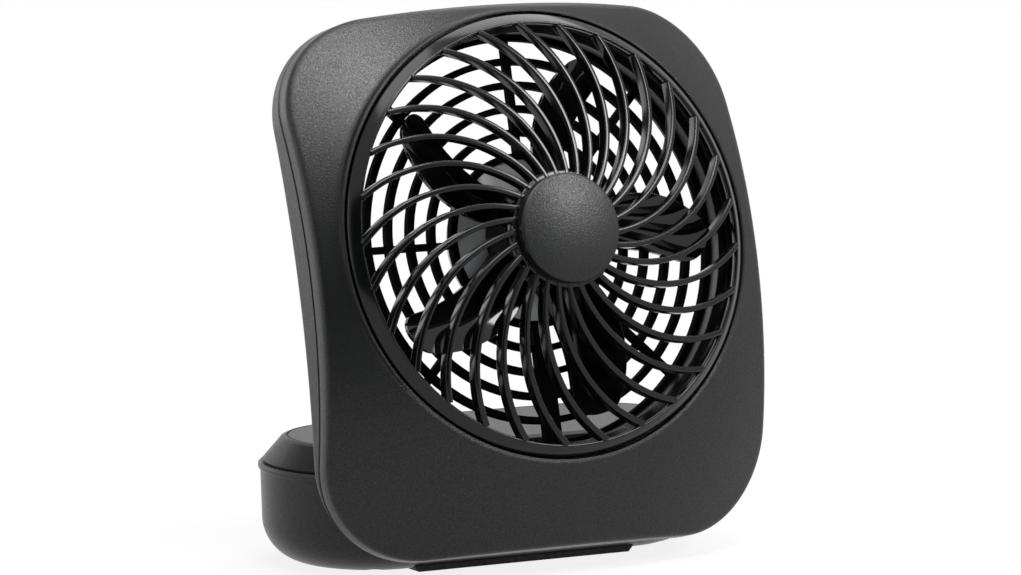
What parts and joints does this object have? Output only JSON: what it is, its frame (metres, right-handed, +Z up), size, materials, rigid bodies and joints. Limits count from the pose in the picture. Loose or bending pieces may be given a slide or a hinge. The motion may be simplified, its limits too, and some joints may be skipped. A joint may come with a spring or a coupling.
{
  "type": "rechargeable fan",
  "caption": "Square tabletop fan with a domed spiral grille on a rounded head that leans and folds back over a round-ended battery base.",
  "frame": {"origin": "on the floor under the middle of the whole fan", "axes": "+Z up, -Y the way the fan blows, +X to the right of someone who faces the grille"},
  "size_m": [0.1636, 0.103, 0.1829],
  "materials": {
    "black_textured_abs": "matte",
    "black_satin_abs": "satin",
    "black_gloss_plastic": "gloss",
    "black_plain_abs": "matte",
    "grey_plastic": "matte",
    "zinc_plated_steel": "satin",
    "bronze_bush": "satin",
    "natural_nylon": "matte",
    "black_rubber": "matte",
    "cell_sleeve": "satin",
    "nickel_strip": "satin",
    "circuit_board": "satin",
    "black_pvc": "satin"
  },
  "bodies": {
    "base": {"base_tub": "black_textured_abs", "base_top_cover": "black_textured_abs", "cover_screws": "zinc_plated_steel", "front_foot_strip": "black_rubber", "rear_foot_strip": "black_rubber", "hinge_pins": "zinc_plated_steel", "battery_cell_left": "cell_sleeve", "battery_cell_right": "cell_sleeve", "battery_tabs": "nickel_strip", "charger_board": "circuit_board", "charging_jack": "black_plain_abs", "switch_body": "black_plain_abs"},
    "switch": {"switch_knob": "black_plain_abs"},
    "head": {"front_bezel": "black_textured_abs", "front_grille": "black_satin_abs", "hub_cap": "black_textured_abs", "rear_housing": "black_textured_abs", "rear_grille": "black_plain_abs", "motor_mount": "grey_plastic", "motor_cover": "grey_plastic", "motor_screws": "zinc_plated_steel", "motor_end_cap": "natural_nylon", "motor_can": "zinc_plated_steel", "motor_bush": "bronze_bush", "motor_lead": "black_pvc", "shell_screws": "zinc_plated_steel"},
    "impeller": {"impeller": "black_gloss_plastic", "motor_shaft": "zinc_plated_steel"}
  },
  "joints": [
    {"name": "head_tilt", "type": "hinge", "parent": "base", "child": "head", "pos_m": [0, -0.01903, 0.038], "axis": [-1, 0, 0], "range_deg": [0, 75]},
    {"name": "impeller_spin", "type": "hinge", "parent": "head", "child": "impeller", "pos_m": [0, -0.03013, 0.11001], "axis": [0, -0.9673, 0.2538], "continuous": true},
    {"name": "switch_slide", "type": "slide", "parent": "base", "child": "switch", "axis": [1, 0, 0], "range_m": [-0.004, 0.004]}
  ]
}
